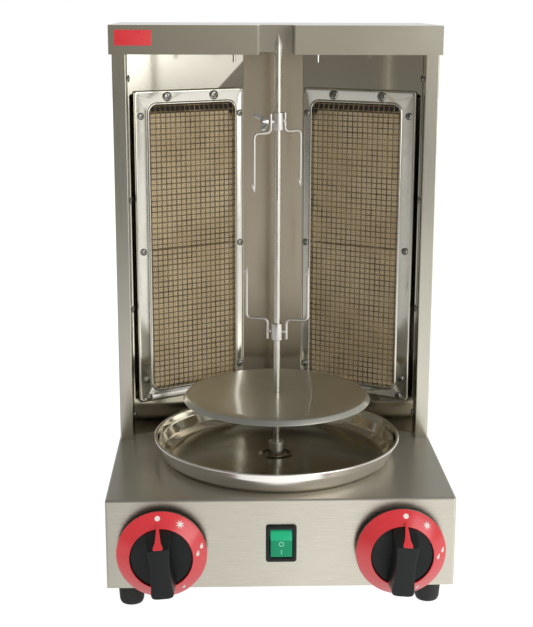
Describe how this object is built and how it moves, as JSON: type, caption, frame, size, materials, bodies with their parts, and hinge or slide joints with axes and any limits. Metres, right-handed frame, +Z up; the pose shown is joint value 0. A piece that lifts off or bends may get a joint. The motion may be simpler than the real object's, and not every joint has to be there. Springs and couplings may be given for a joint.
{
  "type": "gas doner kebab grill",
  "caption": "Tabletop gas kebab grill: vertical motor spit with forks and plate over a drip pan, before angled meshed ceramic burners in an open steel tower, with gas knobs and a rocker switch.",
  "frame": {"origin": "centre of the base's footprint on the surface the feet stand on", "axes": "+X to the right as seen from the front, +Y to the back (the knobs are on the -Y side), +Z up along the spit"},
  "size_m": [0.3034, 0.3845, 0.492],
  "materials": {
    "brushed_stainless": "satin brushed stainless sheet, soft cross-grain reflections",
    "polished_stainless": "polished stainless, clear reflections",
    "bright_steel": "bright turned and plated steel",
    "zinc_steel": "dull zinc plate",
    "mesh_wire": "heat-browned woven wire",
    "ceramic": "porous beige ceramic, dull",
    "gasket_fibre": "pressed fibre, dark with soot, dull",
    "brass": "machined brass",
    "copper_pipe": "drawn copper, dull",
    "black_plastic": "black moulded plastic, low sheen",
    "red_plastic": "glossy red moulded plastic",
    "green_plastic": "translucent-looking green plastic",
    "motor_grey": "grey enamel",
    "black_rubber": "matt black rubber"
  },
  "bodies": {
    "grill": {"base_back_panel": "brushed_stainless", "base_bottom_plate": "brushed_stainless", "base_shell": "brushed_stainless", "burner_frame_screws": "bright_steel", "cap_brace": "brushed_stainless", "cap_studs": "bright_steel", "case_screws": "bright_steel", "centre_back_panel": "polished_stainless", "cord_grommet": "black_rubber", "foot_screws": "bright_steel", "front_left_foot": "black_rubber", "front_right_foot": "black_rubber", "gas_injectors": "brass", "gas_supply_pipe": "bright_steel", "gear_motor": "motor_grey", "left_burner_frame": "polished_stainless", "left_burner_housing": "brushed_stainless", "left_burner_mesh": "mesh_wire", "left_burner_panel": "brushed_stainless", "left_ceramic_tiles": "ceramic", "left_feed_pipe": "copper_pipe", "left_gas_valve": "brass", "left_mixing_tube": "zinc_steel", "left_tile_gasket": "gasket_fibre", "motor_bracket": "zinc_steel", "rear_left_foot": "black_rubber", "rear_right_foot": "black_rubber", "right_burner_frame": "polished_stainless", "right_burner_housing": "brushed_stainless", "right_burner_mesh": "mesh_wire", "right_burner_panel": "brushed_stainless", "right_ceramic_tiles": "ceramic", "right_feed_pipe": "copper_pipe", "right_gas_valve": "brass", "right_mixing_tube": "zinc_steel", "right_tile_gasket": "gasket_fibre", "shaft_bush": "brass", "switch_housing": "black_plastic", "terminal_block": "black_plastic", "top_cap": "brushed_stainless", "tower_back_cover": "brushed_stainless", "tower_left_side": "brushed_stainless", "tower_right_side": "brushed_stainless"},
    "spit_drive": {"drive_socket": "bright_steel"},
    "spit": {"spit_rod": "polished_stainless"},
    "plate": {"meat_plate": "brushed_stainless"},
    "upper_fork": {"upper_fork": "polished_stainless"},
    "lower_fork": {"lower_fork": "polished_stainless"},
    "upper_wing_screw": {"upper_wing_screw": "bright_steel"},
    "lower_wing_screw": {"lower_wing_screw": "bright_steel"},
    "drip_pan": {"drip_pan": "polished_stainless"},
    "left_push": {"left_spindle_collar": "brass"},
    "left_knob": {"left_valve_spindle": "bright_steel", "left_knob_body": "black_plastic", "left_knob_ring": "red_plastic"},
    "right_push": {"right_spindle_collar": "brass"},
    "right_knob": {"right_valve_spindle": "bright_steel", "right_knob_body": "black_plastic", "right_knob_ring": "red_plastic"},
    "rocker": {"switch_rocker": "green_plastic"}
  },
  "joints": [
    {"name": "spit_turn", "type": "hinge", "parent": "grill", "child": "spit_drive", "pos_m": [0, -0.036, 0.115], "axis": [0, 0, 1], "continuous": true},
    {"name": "spit_lift", "type": "slide", "parent": "spit_drive", "child": "spit", "axis": [0, 0, 1], "range_m": [0, 0.03]},
    {"name": "plate_lift", "type": "slide", "parent": "spit", "child": "plate", "axis": [0, 0, 1], "range_m": [0, 0.02]},
    {"name": "upper_fork_slide", "type": "slide", "parent": "spit", "child": "upper_fork", "axis": [0, 0, 1], "range_m": [-0.03, 0.045]},
    {"name": "lower_fork_slide", "type": "slide", "parent": "spit", "child": "lower_fork", "axis": [0, 0, 1], "range_m": [-0.02, 0.03]},
    {"name": "drip_pan_lift", "type": "slide", "parent": "grill", "child": "drip_pan", "axis": [0, 0, 1], "range_m": [0, 0.03]},
    {"name": "rocker_press", "type": "hinge", "parent": "grill", "child": "rocker", "pos_m": [0, -0.146, 0.0611], "axis": [1, 0, 0], "range_deg": [0, 13]},
    {"name": "upper_wing_screw_turn", "type": "hinge", "parent": "upper_fork", "child": "upper_wing_screw", "pos_m": [0, -0.036, 0.41025], "axis": [-0.9397, -0.342, 0], "range_deg": [0, 120]},
    {"name": "lower_wing_screw_turn", "type": "hinge", "parent": "lower_fork", "child": "lower_wing_screw", "pos_m": [0, -0.036, 0.21955], "axis": [0.0349, 0.9994, 0], "range_deg": [0, 180]},
    {"name": "left_knob_push", "type": "slide", "parent": "grill", "child": "left_push", "axis": [0, 1, 0], "range_m": [0, 0.003], "stiffness_N_per_m": 1500, "springref_m": -0.002},
    {"name": "left_knob_turn", "type": "hinge", "parent": "left_push", "child": "left_knob", "pos_m": [-0.102, -0.155, 0.056], "axis": [0, -1, 0], "range_deg": [0, 150]},
    {"name": "right_knob_push", "type": "slide", "parent": "grill", "child": "right_push", "axis": [0, 1, 0], "range_m": [0, 0.003], "stiffness_N_per_m": 1500, "springref_m": -0.002},
    {"name": "right_knob_turn", "type": "hinge", "parent": "right_push", "child": "right_knob", "pos_m": [0.102, -0.155, 0.056], "axis": [0, -1, 0], "range_deg": [0, 150]}
  ]
}
